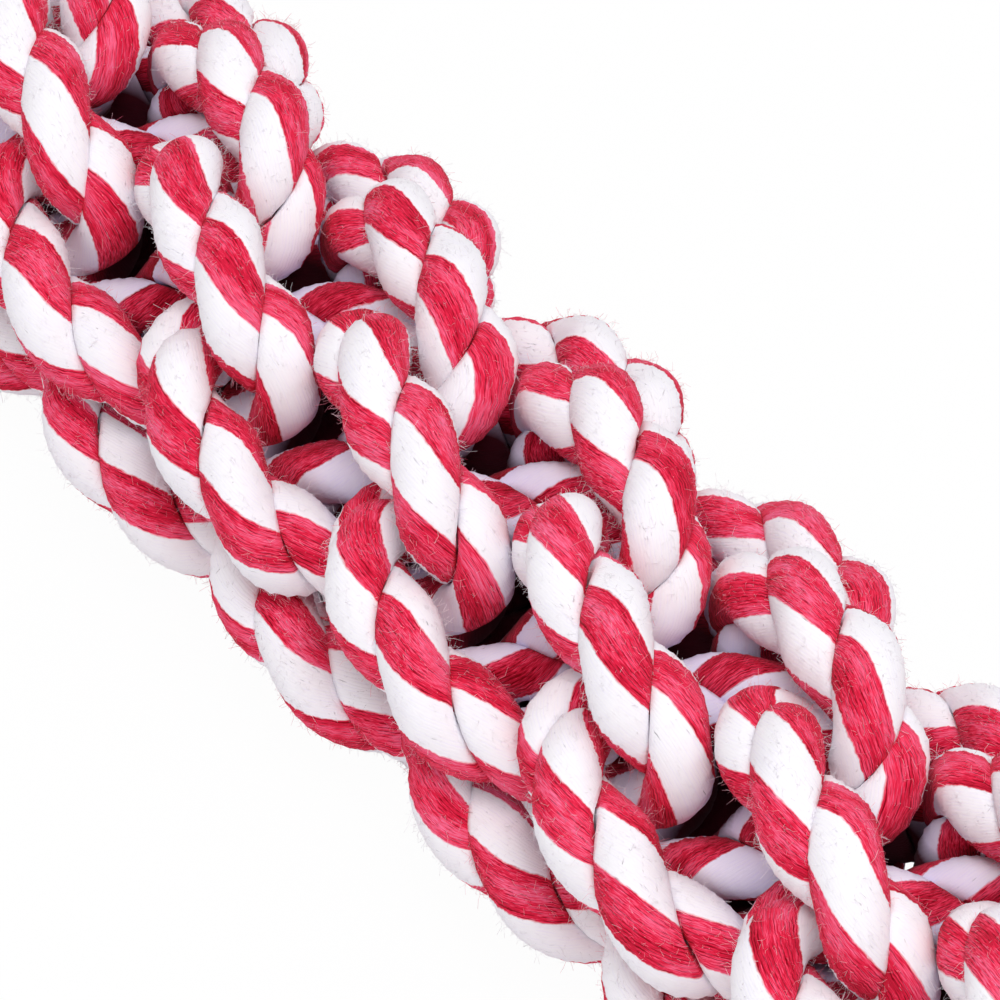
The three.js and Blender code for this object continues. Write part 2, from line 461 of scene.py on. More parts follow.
@dataclass(frozen=True)
class BindingCord:
    """White twisted cord, whose plies show as slanting lines."""

    cotton: Cotton = Cotton(bump_depth=0.08 * MM)
    white: Colour = srgb(243, 240, 240)
    grey: Colour = srgb(190, 180, 186)
    yarns: int = 18
    fibres: Grain = Grain(26.0, 1800.0, 4.0)
    blotch: Grain = Grain(1.0, 220.0)
    line_narrowness: float = 3.0
    depth: Tone = Tone(start=0.08, line=0.35, fibres=0.4, blotch=0.3)
    ridge_height: float = 0.6

    def material(self) -> bpy.types.Material:
        """Draws the cord's fine yarns on its yarn map.

        Returns:
            The cord's material.
        """
        made, book = new_material("binding_cord")
        turn, along = book.yarn_map()
        angle = turn * TAU
        ridge = abs((angle * (self.yarns / 2)).sin())
        line = (1.0 - ridge).power(self.line_narrowness)
        fibres = self.fibres.over(book, angle, along)
        depth = self.depth.share(line, fibres, self.blotch.over(book, angle, along))
        colour = book.mixed(depth, self.white, self.grey)
        self.cotton.shaded(book, colour, ridge * self.ridge_height + fibres * (1.0 - self.ridge_height))
        return made


@dataclass(frozen=True)
class LooseYarn:
    """Loose plied yarn, red or white by its own dye."""

    cotton: Cotton = Cotton(bump_depth=0.1 * MM, sheen=0.3)
    red: Colour = srgb(206, 30, 58)
    deep_red: Colour = srgb(140, 8, 34)
    white: Colour = srgb(246, 243, 245)
    grey: Colour = srgb(194, 182, 192)
    plies: int = 3
    ply_lay: float = 3.2 * MM
    fibres: Grain = Grain(12.0, 1600.0, 4.0)
    tone_grain: tuple[float, float, float] = (50.0, 20.0, 90.0)
    depth: Tone = Tone(start=0.05, line=0.5, fibres=0.5, blotch=0.5)
    white_depth: float = 0.45
    dye_sharpness: float = 20.0
    ply_height: float = 0.7

    def material(self) -> bpy.types.Material:
        """Draws the yarn's plies on its yarn map, in the colour of its own dye.

        Returns:
            The yarn's material.
        """
        made, book = new_material("loose_yarn")
        turn, along = book.yarn_map()
        angle = turn * TAU
        dye = book.dye()
        ply = abs(((angle + along * (TAU / self.ply_lay)) * (self.plies / 2)).sin())
        fibres = self.fibres.over(book, angle, along)
        first, second, lengthwise = self.tone_grain
        tone = book.noise((dye * first, dye * second, along * lengthwise))
        depth = self.depth.share(1.0 - ply, fibres, tone)
        red = book.mixed(depth, self.red, self.deep_red)
        white = book.mixed(depth * self.white_depth, self.white, self.grey)
        red_share = ((dye - 0.5) * self.dye_sharpness + 0.5).clamped()
        height = ply * self.ply_height + fibres * (1.0 - self.ply_height)
        self.cotton.shaded(book, book.mixed(red_share, white, red), height)
        return made


@dataclass(frozen=True)
class StrayFibre:
    """Fine cotton fibre that stands off the yarns."""

    red: Colour = srgb(236, 96, 128)
    white: Colour = srgb(250, 244, 250)
    roughness: float = 0.8
    specular: float = 0.2

    def material(self) -> bpy.types.Material:
        """Colours each fibre by its own dye.

        Returns:
            The fibres' material.
        """
        made, book = new_material("stray_fibre")
        colour = book.mixed(book.dye(), self.white, self.red)
        inputs = {"Base Color": colour, "Roughness": self.roughness, "Specular IOR Level": self.specular}
        shader = book.add("ShaderNodeBsdfPrincipled", None, inputs)
        book.add("ShaderNodeOutputMaterial", None, {"Surface": book.signal(shader)})
        return made


@dataclass(frozen=True)
class WhitePaper:
    """The pale floor, which is white to the eye and still takes a faint shadow."""

    colour: Colour = (0.93, 0.93, 0.94, 1.0)
    glow_share: float = 0.97

    def material(self) -> bpy.types.Material:
        """Mixes matt paper with a white that only the eye sees.

        Returns:
            The floor's material.
        """
        made, book = new_material("white_paper")
        share = book.seen_directly() * self.glow_share
        matt = book.signal(book.add("ShaderNodeBsdfDiffuse", None, {"Color": self.colour}))
        glow = book.signal(book.add("ShaderNodeEmission", None, {"Color": FULL_WHITE, "Strength": 1.0}))
        surface = book.signal(book.add("ShaderNodeMixShader", None, {0: share, 1: matt, 2: glow}))
        book.add("ShaderNodeOutputMaterial", None, {"Surface": surface})
        return made


def around(x: np.ndarray, reach: np.ndarray, angle: np.ndarray) -> np.ndarray:
    """Points at a distance from the bar's axis, at an angle from +Y towards +Z.

    Args:
        x: Places along the bar.
        reach: Distances from the axis.
        angle: Angles round the axis.

    Returns:
        The points, one row each.
    """
    x, reach, angle = np.broadcast_arrays(x, reach, angle)
    return np.stack([x, reach * np.cos(angle), reach * np.sin(angle)], axis=-1)


def smooth_step(share: np.ndarray) -> np.ndarray:
    """An even start and stop from nought to one."""
    held = np.clip(share, 0, 1)
    return held * held * (3 - 2 * held)


def unit(vectors: np.ndarray) -> np.ndarray:
    """Vectors of the same directions and of length one."""
    return vectors / np.linalg.norm(vectors, axis=-1, keepdims=True)


def gone_along(line: np.ndarray) -> np.ndarray:
    """The distance gone along a line of points at each of them."""
    return np.concatenate([[0], np.cumsum(np.linalg.norm(np.diff(line, axis=0), axis=1))])


def ringed(
    points: np.ndarray, first: np.ndarray, second: np.ndarray, across: np.ndarray, upward: np.ndarray
) -> np.ndarray:
    """Rings round the points of lines, as far as given along the two directions across each line."""
    rings = points[..., None, :] + first[..., None, :] * across[..., None]
    return rings + second[..., None, :] * upward[..., None]


def map_values(turn: np.ndarray, along: np.ndarray) -> np.ndarray:
    """The two values of a yarn map at each point."""
    return np.stack(np.broadcast_arrays(turn, along), axis=-1)


def blurred(values: np.ndarray, spread: float, axis: int, wrap: bool) -> np.ndarray:
    """Values evened out along one axis.

    Args:
        values: The values.
        spread: Standard spread of the blur, in steps.
        axis: The axis to blur along.
        wrap: Whether the axis closes on itself.

    Returns:
        The blurred values.
    """
    reach = max(1, math.ceil(3 * spread))
    offsets = np.arange(-reach, reach + 1)
    weights = np.exp(-0.5 * (offsets / spread) ** 2)
    weights /= weights.sum()
    margin = [(0, 0)] * values.ndim
    margin[axis] = (reach, reach)
    padded = np.pad(values, margin, mode="wrap" if wrap else "edge")
    count = values.shape[axis]
    return sum(w * np.take(padded, np.arange(count) + i, axis=axis) for i, w in enumerate(weights))


@dataclass
class RopePath:
    """A rope's middle line with the two directions across it, which don't twist along the way."""

    points: np.ndarray
    along: np.ndarray
    first: np.ndarray
    second: np.ndarray
    step: float
    bight: int

    def outward(self) -> float:
        """The angle, across the rope at its middle bight, that faces away from the bar's axis."""
        away = self.points[self.bight] * np.array([0, 1, 1])
        return math.atan2(away @ self.second[self.bight], away @ self.first[self.bight])

    def spokes(self, angles: np.ndarray) -> np.ndarray:
        """Directions across the rope at every point, one for each angle."""
        across = self.first[:, None] * np.cos(angles)[None, :, None]
        return across + self.second[:, None] * np.sin(angles)[None, :, None]

    def turned(self, angle: float) -> RopePath:
        """The same path turned about the bar's axis.

        Args:
            angle: How far it is turned.

        Returns:
            The turned path.
        """
        turn = np.array(Matrix.Rotation(angle, 3, "X"))
        turned = [values @ turn.T for values in (self.points, self.along, self.first, self.second)]
        return RopePath(*turned, self.step, self.bight)


@dataclass
class CrownBraid:
    """The four-rope spiral crown braid: its sizes, the ropes' paths and how far each rope can swell."""

    rope_diameter: float = 9.2 * MM
    crowns: int = 15
    taper_length: float = 12 * MM
    bight_reach: float = 16.56 * MM
    run_reach: float = 6.532 * MM
    crown_rise: float = 12.512 * MM
    crown_swing: float = 6.9 * MM
    bight_sway: float = 0.3036 * MM
    bundle_reach: float = 5.98 * MM
    whipping_cord: float = 2.6 * MM
    whipping_turns: int = 5
    whipping_turn_gap: float = 0.55 * MM
    rope_past_whipping: float = 1.5 * MM
    clearance: float = 0.3 * MM
    ropes: int = 4
    rows: int = 8
    rows_per_crown: int = 3
    step: float = 1 * MM
    press_range: float = 16.1 * MM
    own_turn_length: float = 18 * MM
    crown_steps: int = 200
    taper_steps: int = 60
    directions: int = 48
    least_facing: float = 0.05
    blur_round: float = 1.6
    blur_along: float = 0.8

    def __post_init__(self) -> None:
        """Works out the sizes that follow from the others."""
        self.row_angle = TAU / self.rows
        self.rope_angle = TAU / self.ropes
        self.half = self.crowns * self.crown_rise / 2
        self.whipping_start = self.half + self.taper_length
        self.whipping_pitch = self.whipping_cord + self.whipping_turn_gap
        self.whipping_length = self.whipping_turns * self.whipping_pitch + self.whipping_cord
        half_thicknesses = (self.rope_diameter + self.whipping_cord) / 2
        self.whipping_radius = self.bundle_reach + half_thicknesses + self.clearance
        self.rope_end = self.whipping_start + self.whipping_length + self.rope_past_whipping
        crown_angle = self.rows_per_crown * self.row_angle
        self.phase = math.pi / 2 - self.crowns / 2 * crown_angle
        self.left_angle = self.phase - self.row_angle / 2
        self.right_angle = self.phase + self.crowns * crown_angle + self.row_angle / 2

    def end_angle(self, end: End) -> float:
        """The angle at which the first rope lies in the bound bundle at one end."""
        return self.right_angle if end is End.RIGHT else self.left_angle

    def crown_points(self, crown: np.ndarray) -> np.ndarray:
        """The first rope's line through the crowns.

        Args:
            crown: Places along the braid, counted in crowns.

        Returns:
            The points, one row each.
        """
        turn = crown * self.row_angle
        mean = (self.bight_reach + self.run_reach) / 2 + self.bight_sway
        point = (self.bight_reach - self.run_reach) / 2 - self.bight_sway
        terms = [
            (mean, self.rows_per_crown),
            (point, self.rows_per_crown - self.rows),
            (self.bight_sway, self.rows_per_crown + self.rows),
            (-self.bight_sway, self.rows_per_crown - 2 * self.rows),
        ]
        x = crown * self.crown_rise + self.crown_swing * np.sin(TAU * crown) - self.half
        points = around(x, 0, 0)
        for reach, turns in terms:
            points = points + around(0 * turn, reach, turns * turn + self.phase)
        return points

    def taper_points(self, bight: np.ndarray, beyond: np.ndarray, end: End) -> np.ndarray:
        """The line from the last bight to its seat in the bound bundle.

        Args:
            bight: The last point of the braid.
            beyond: The direction in which the rope leaves it.
            end: The end of the bar.

        Returns:
            The points from the bight to the seat.
        """
        angle = self.end_angle(end)
        reach = self.taper_length / 2
        seat = around(end.value * self.whipping_start, self.bundle_reach, angle)
        before_seat = around(end.value * (self.whipping_start - reach), self.bundle_reach, angle)
        t = np.linspace(0, 1, self.taper_steps)[:, None]
        first = (1 - t) ** 3 * bight + 3 * t * (1 - t) ** 2 * (bight + reach * beyond)
        return first + 3 * t * t * (1 - t) * before_seat + t**3 * seat

    def first_path(self) -> RopePath:
        """The first rope's path from end to end, in even steps.

        Returns:
            The path.
        """
        crowns = self.crown_points(np.linspace(0, self.crowns, self.crown_steps * self.crowns))
        left = self.taper_points(crowns[0], unit(crowns[0] - crowns[1]), End.LEFT)
        right = self.taper_points(crowns[-1], unit(crowns[-1] - crowns[-2]), End.RIGHT)
        line = np.concatenate(
            [
                around(np.array([-self.rope_end]), self.bundle_reach, self.left_angle),
                left[::-1],
                crowns[1:-1],
                right,
                around(np.array([self.rope_end]), self.bundle_reach, self.right_angle),
            ]
        )
        gone = gone_along(line)
        count = round(gone[-1] / self.step)
        places = np.linspace(0, gone[-1], count + 1)
        points = np.stack([np.interp(places, gone, line[:, i]) for i in range(3)], axis=1)
        along = unit(np.gradient(points, axis=0))
        first = np.empty_like(along)
        side = np.array([0.0, math.cos(self.left_angle), math.sin(self.left_angle)])
        for i, direction in enumerate(along):
            side = unit(side - direction * (side @ direction))
            first[i] = side
        middle = self.crown_points(np.array([self.crowns // 2]))
        bight = int(np.argmin(np.linalg.norm(points - middle, axis=1)))
        return RopePath(points, along, first, np.cross(along, first), gone[-1] / count, bight)

    def paths(self) -> list[RopePath]:
        """The paths of all the ropes, which are the first one turned about the bar's axis."""
        first = self.first_path()
        return [first.turned(i * self.rope_angle) for i in range(self.ropes)]

    def swell(self, paths: list[RopePath]) -> np.ndarray:
        """How far the first rope swells at each point in each direction, as the others press on it.

        Args:
            paths: The paths of all the ropes.

        Returns:
            Shares of the free radius, one row for each point and one column for each direction.
        """
        radius = self.rope_diameter / 2
        own = paths[0]
        spokes = own.spokes(np.arange(self.directions) * TAU / self.directions)
        others = np.concatenate([path.points for path in paths])
        place = np.arange(len(others))
        shares = np.ones(spokes.shape[:2])
        for i, here in enumerate(own.points):
            towards = others - here
            distance = np.linalg.norm(towards, axis=1)
            elsewhere = (place >= len(own.points)) | (np.abs(place - i) * own.step > self.own_turn_length)
            near = elsewhere & (distance < self.press_range)
            facing = spokes[i] @ (towards[near] / distance[near][:, None]).T
            room = (distance[near] - self.clearance / 2) / 2
            limit = np.where(facing > self.least_facing, room / np.maximum(facing, self.least_facing), radius)
            shares[i] = np.minimum(1, limit.min(axis=1, initial=radius) / radius)
        return blurred(blurred(shares, self.blur_round, 1, True), self.blur_along, 0, False)


def placed(name: str, data: bpy.types.ID) -> bpy.types.Object:
    """Puts a mesh, a lamp or a camera into the scene.

    Args:
        name: The object's name.
        data: What it shows.

    Returns:
        The new object.
    """
    made = bpy.data.objects.new(name, data)
    bpy.context.scene.collection.objects.link(made)
    return made


def tube_object(
    name: str,
    finish: bpy.types.Material,
    rings: np.ndarray,
    yarn_map: np.ndarray,
    dye: np.ndarray | None = None,
) -> bpy.types.Object:
    """Closed tubes through rings of points, as one mesh.

    Args:
        name: The object's name.
        finish: Its material.
        rings: Points by tube, ring and side, with the first side repeated at the end of each ring.
        yarn_map: Two map values for each of those points.
        dye: The dye of each tube, or None where the map alone gives the colour.

    Returns:
        The new object.
    """
    tubes, count, columns = rings.shape[:3]
    bm = bmesh.new()
    bmesh.ops.create_grid(bm, x_segments=columns - 1, y_segments=count - 1, size=0.5)
    mesh = bpy.data.meshes.new(name)
    bm.to_mesh(mesh)
    mesh.vertices.foreach_set("co", rings[0].astype(np.float32).ravel())
    corner = np.empty(len(mesh.loops), np.int32)
    mesh.loops.foreach_get("vertex_index", corner)
    place = np.stack([corner // columns, corner % columns], axis=-1)
    mesh.uv_layers.new(name=YARN_MAP).data.foreach_set("uv", place.astype(np.float32).ravel())
    bm.clear()
    bm.from_mesh(mesh)
    bm.verts.ensure_lookup_table()
    seam = {bm.verts[row + columns - 1]: bm.verts[row] for row in range(0, len(bm.verts), columns)}
    bmesh.ops.weld_verts(bm, targetmap=seam)
    bmesh.ops.holes_fill(bm, edges=[e for e in bm.edges if e.is_boundary], sides=0)
    bmesh.ops.recalc_face_normals(bm, faces=bm.faces)
    bm.to_mesh(mesh)
    bm.free()
    bm = bmesh.new()
    bm.from_mesh(mesh)
    sizes = [len(part) for part in (bm.verts, bm.edges, bm.faces)]
    copies = 1
    while copies < tubes:
        more = min(copies, tubes - copies)
        chosen = [list(part)[: size * more] for part, size in zip((bm.verts, bm.edges, bm.faces), sizes)]
        bmesh.ops.duplicate(bm, geom=sum(chosen, []))
        copies += more
    bm.to_mesh(mesh)
    bm.free()
    mesh.vertices.foreach_set("co", rings[:, :, :-1].astype(np.float32).ravel())
    layer = mesh.uv_layers[YARN_MAP]
    place = np.empty(2 * len(mesh.loops), np.float32)
    layer.data.foreach_get("uv", place)
    row, column = place.reshape(-1, 2).round().astype(int).T
    tube = np.repeat(np.arange(tubes), len(mesh.loops) // tubes)
    layer.data.foreach_set("uv", yarn_map[tube, row, column].astype(np.float32).ravel())
    if dye is not None:
        attribute = mesh.attributes.new(DYE, "FLOAT", "POINT")
        attribute.data.foreach_set("value", np.repeat(dye, count * (columns - 1)).astype(np.float32))
    mesh.update()
    mesh.shade_smooth()
    mesh.materials.append(finish)
    return placed(name, mesh)


@dataclass
class LaidRope:
    """One rope of the braid, twisted right-handed from two strands that press flat against each other.

    The lay is such that a strand faces outwards a little past the middle of every bight.
    """

    node: str
    path: RopePath
    swell: np.ndarray
    axis_height: float
    dye_turn: float
    past_bight: float
    seed: int
    strands: int = 2
    lay: float = 19.48 * MM
    yarn_turns_per_lay: float = 1.7737
    strand_offset: float = 1.22 * MM
    strand_radius: float = 3.08 * MM
    strand_gap: float = 0.02 * MM
    crease_hardness: float = 10.0
    face_angle: float = math.radians(113)
    face_share: float = 0.7
    end_taper: float = 6 * MM
    end_share: float = 0.6
    uneven_waves: tuple[float, float, float] = (31 * MM, 17 * MM, 9 * MM)
    uneven_lay: float = 0.04
    uneven_girth: float = 0.012
    uneven_dye: float = 0.02
    least_slope: float = 0.05
    sides: int = 32

    def section(self) -> tuple[np.ndarray, np.ndarray, np.ndarray]:
        """One strand's cross-section: a rounded outer face and two walls that meet at the rope's middle.

        Returns:
            The angles from the outward direction, the reach at each and the share of the yarns passed.
        """
        angle = np.linspace(-math.pi, math.pi, self.sides + 1)
        off_wall = np.abs(np.abs(angle) - (math.pi / 2 + math.pi / self.strands))
        wall = self.strand_offset * math.sin(math.pi / self.strands) - self.strand_gap
        wall_reach = wall / np.maximum(np.cos(off_wall), self.least_slope)
        hardness = self.crease_hardness
        reach = (self.strand_radius**-hardness + wall_reach**-hardness) ** (-1 / hardness)
        passed = np.interp(
            angle,
            [-math.pi, -self.face_angle, self.face_angle, math.pi],
            [-0.5, -self.face_share / 2, self.face_share / 2, 0.5],
        )
        return angle, reach, passed

    def strand_rings(self, strand: int) -> tuple[np.ndarray, np.ndarray]:
        """The rings of points of one strand and their yarn map.

        Args:
            strand: The strand's number in the rope.

        Returns:
            The points by ring and side, and the two map values of each.
        """
        length = (np.arange(len(self.path.points)) - self.path.bight) * self.path.step - self.past_bight
        chance = np.random.default_rng(self.seed + strand)
        starts = chance.uniform(0, TAU, len(self.uneven_waves))
        uneven = sum(np.sin(length * TAU / w + p) for w, p in zip(self.uneven_waves, starts))
        turns = length / self.lay
        lay_angle = self.path.outward() + (turns + strand / self.strands) * TAU + self.uneven_lay * uneven
        angle, reach, passed = self.section()
        grown = reach[None, :] * (1 + self.uneven_girth * uneven)[:, None]
        turn = lay_angle[:, None] + angle[None, :]
        across = self.strand_offset * np.cos(lay_angle)[:, None] + grown * np.cos(turn)
        upward = self.strand_offset * np.sin(lay_angle)[:, None] + grown * np.sin(turn)
        share = self.swell_share(np.arctan2(upward, across)) * self.end_shares(length)[:, None]
        path = self.path
        points = ringed(path.points, path.first, path.second, across * share, upward * share)
        points[..., 2] = np.maximum(points[..., 2] + self.axis_height, 0)
        yarn_turn = (turns + strand / self.strands) * self.yarn_turns_per_lay + self.uneven_dye * uneven
        yarn_turn = yarn_turn + self.dye_turn
        return points, map_values(passed[None, :] + yarn_turn[:, None], length[:, None])

    def swell_share(self, angle: np.ndarray) -> np.ndarray:
        """The rope's swelling, read between the worked-out directions.

        Args:
            angle: The direction of each point across the rope, by ring and side.

        Returns:
            The share of the free radius at each point.
        """
        columns = self.swell.shape[1]
        place = (angle / TAU * columns) % columns
        low = np.floor(place).astype(int) % columns
        rows = np.arange(len(angle))[:, None]
        part = place - np.floor(place)
        return self.swell[rows, low] * (1 - part) + self.swell[rows, (low + 1) % columns] * part

    def end_shares(self, length: np.ndarray) -> np.ndarray:
        """How far the rope is drawn in near its two ends, where the yarns come loose."""
        from_end = np.minimum(length - length[0], length[-1] - length) / self.end_taper
        return self.end_share + (1 - self.end_share) * smooth_step(from_end)

    def build(self, finish: bpy.types.Material) -> list[bpy.types.Object]:
        """Models the rope's strands and seats them on the braid.

        Args:
            finish: The strands' material.

        Returns:
            The strands' objects.
        """
        made = []
        for strand in range(self.strands):
            rings, yarn_map = self.strand_rings(strand)
            piece = tube_object(f"{self.node}_strand_{strand + 1}", finish, rings[None], yarn_map[None])
            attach(piece, "braid")
            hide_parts(self.node)
            made.append(piece)
        return made


@dataclass
class StrayFibres:
    """Short curled fibres that stand off one strand wherever it shows."""

    rope: LaidRope
    strand: int
    count: int = 12400
    radius: float = 0.012 * MM
    usual_length: float = 0.62 * MM
    longest: float = 1.6 * MM
    rooted: float = 0.06 * MM
    open_reach: float = 13 * MM
    off_edge: float = 0.5
    palest_dye: float = 0.3
    lean: float = 0.7
    flattest: float = 0.2
    steepest: float = 1.3
    length_spread: float = 0.5
    curl: float = 2.6
    sides: int = 3
    steps: int = 3
    tries: int = 5
    seed_offset: int = 500

    def roots(self, chance: np.random.Generator) -> tuple[np.ndarray, np.ndarray, np.ndarray, np.ndarray]:
        """Where the fibres start.

        Args:
            chance: The rope's own random numbers.

        Returns:
            The starts, the directions off the strand and along the rope, and the dye at each.
        """
        rope = self.rope
        face = np.flatnonzero(np.abs(rope.section()[0]) < rope.face_angle)
        rings, yarn_map = rope.strand_rings(self.strand)
        tried = self.tries * self.count
        row = chance.integers(2, len(rings) - 2, tried)
        column = chance.choice(face, tried)
        share = chance.uniform(0, 1, (tried, 1))
        start = rings[row, column] * (1 - share) + rings[row + 1, column + 1] * share
        off = unit(start - rings[row, :-1].mean(axis=1))
        before, after = yarn_map[row, column, 0], yarn_map[row + 1, column + 1, 0]
        yarn_turn = before * (1 - share[:, 0]) + after * share[:, 0]
        wave = np.sin(yarn_turn * TwoColourStrand.pairs * TAU)
        from_axis = start - np.array([0, 0, rope.axis_height])
        outside = np.hypot(from_axis[:, 1], from_axis[:, 2]) > self.open_reach
        shows = np.flatnonzero(outside & ((wave > self.off_edge) | (wave < 0)))[: self.count]
        dye = (wave[shows] > 0) * chance.uniform(self.palest_dye, 1, len(shows))
        return start[shows], off[shows], rope.path.along[row[shows]], dye

    def build(self, finish: bpy.types.Material) -> bpy.types.Object:
        """Models the fibres and seats them on the braid.

        Args:
            finish: The fibres' material.

        Returns:
            The fibres' object.
        """
        chance = np.random.default_rng(self.rope.seed + self.strand + self.seed_offset)
        start, off, along, dye = self.roots(chance)
        total = len(start)
        side = np.cross(along, off)
        lean = chance.normal(0, self.lean, (total, 1))
        rise = chance.uniform(self.flattest, self.steepest, (total, 1))
        sense = chance.choice([-1.0, 1.0], (total, 1))
        heading = (along * np.cos(lean) * sense + side * np.sin(lean)) * np.cos(rise) + off * np.sin(rise)
        growth = np.exp(chance.normal(0, self.length_spread, (total, 1)))
        length = np.minimum(self.usual_length * growth, self.longest)
        bend = unit(np.cross(heading, chance.normal(0, 1, (total, 3))))
        turn = chance.normal(0, self.curl, (total, 1)) * np.linspace(0, 1, self.steps)
        forward = heading[:, None] * np.cos(turn)[..., None] + bend[:, None] * np.sin(turn)[..., None]
        steps = forward[:, :-1] * length[:, None] / (self.steps - 1)
        root = (start - off * self.rooted)[:, None]
        points = np.concatenate([root, root + np.cumsum(steps, axis=1)], axis=1)
        first = unit(np.cross(forward, np.cross(heading, bend)[:, None]))
        second = np.cross(forward, first)
        angle = np.linspace(0, TAU, self.sides + 1)
        rings = ringed(points, first, second, self.radius * np.cos(angle), self.radius * np.sin(angle))
        rings[..., 2] = np.maximum(rings[..., 2], 0)
        yarn_map = np.zeros(rings.shape[:3] + (2,))
        piece = tube_object(f"{self.rope.node}_fibres_{self.strand + 1}", finish, rings, yarn_map, dye)
        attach(piece, "braid")
        return piece


@dataclass
class Whipping:
    """The cord wound round the ropes at one end of the braid, its two ends pushed in between the ropes."""

    node: str
    braid: CrownBraid
    end: End
    axis_height: float
    thickness: float = 3.1 * MM
    plies: int = 3
    ply_depth: float = 0.13
    ply_lay: float = 7.5 * MM
    tuck_angle: float = 0.5
    tuck_depth: float = 4.2 * MM
    steps_per_turn: int = 130
    sides: int = 18
    lobe_roundness: float = 0.7
    yarn_twist: float = 0.4

    def line(self) -> np.ndarray:
        """The cord's middle line, with its ends tucked in.

        Returns:
            The points of the line.
        """
        braid = self.braid
        first = -self.tuck_angle / TAU
        count = round(self.steps_per_turn * braid.whipping_turns)
        turn = np.linspace(first, braid.whipping_turns - first, count)
        inside = np.maximum(-turn, turn - braid.whipping_turns) * TAU / self.tuck_angle
        # The first half of a smooth step, so that the cord leaves the winding gently.
        radius = braid.whipping_radius - self.tuck_depth * smooth_step(inside / 2) * 2
        wound = np.clip(turn, 0, braid.whipping_turns) * braid.whipping_pitch
        x = braid.whipping_start + braid.whipping_cord / 2 + wound
        points = around(x, radius, turn * TAU)
        if self.end is End.LEFT:
            points = points * np.array([-1, -1, 1])
        return points

    def build(self, finish: bpy.types.Material) -> bpy.types.Object:
        """Models the binding and seats it on the braid.

        Args:
            finish: The cord's material.

        Returns:
            The binding's object.
        """
        points = self.line()
        along = unit(np.gradient(points, axis=0))
        gone = gone_along(points)
        outward = points * np.array([0, 1, 1])
        outward = unit(outward - along * np.sum(outward * along, axis=1)[:, None])
        sideways = np.cross(along, outward)
        angle = np.linspace(0, TAU, self.sides + 1)
        twist = gone * TAU / self.ply_lay
        ply = np.abs(np.sin(self.plies / 2 * (angle[None, :] - twist[:, None])))
        lobes = 1 - self.ply_depth * ply**self.lobe_roundness
        lobes = 1 - self.ply_depth + (lobes - lobes.min()) / (lobes.max() - lobes.min()) * self.ply_depth
        radius = self.thickness / 2 * lobes
        rings = ringed(points, outward, sideways, radius * np.cos(angle), radius * np.sin(angle))
        rings[..., 2] += self.axis_height
        yarn_map = map_values((angle[None, :] - self.yarn_twist * twist[:, None]) / TAU, gone[:, None])
        piece = tube_object(f"{self.node}_cord", finish, rings[None], yarn_map[None])
        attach(piece, "braid")
        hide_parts(self.node)
        return piece


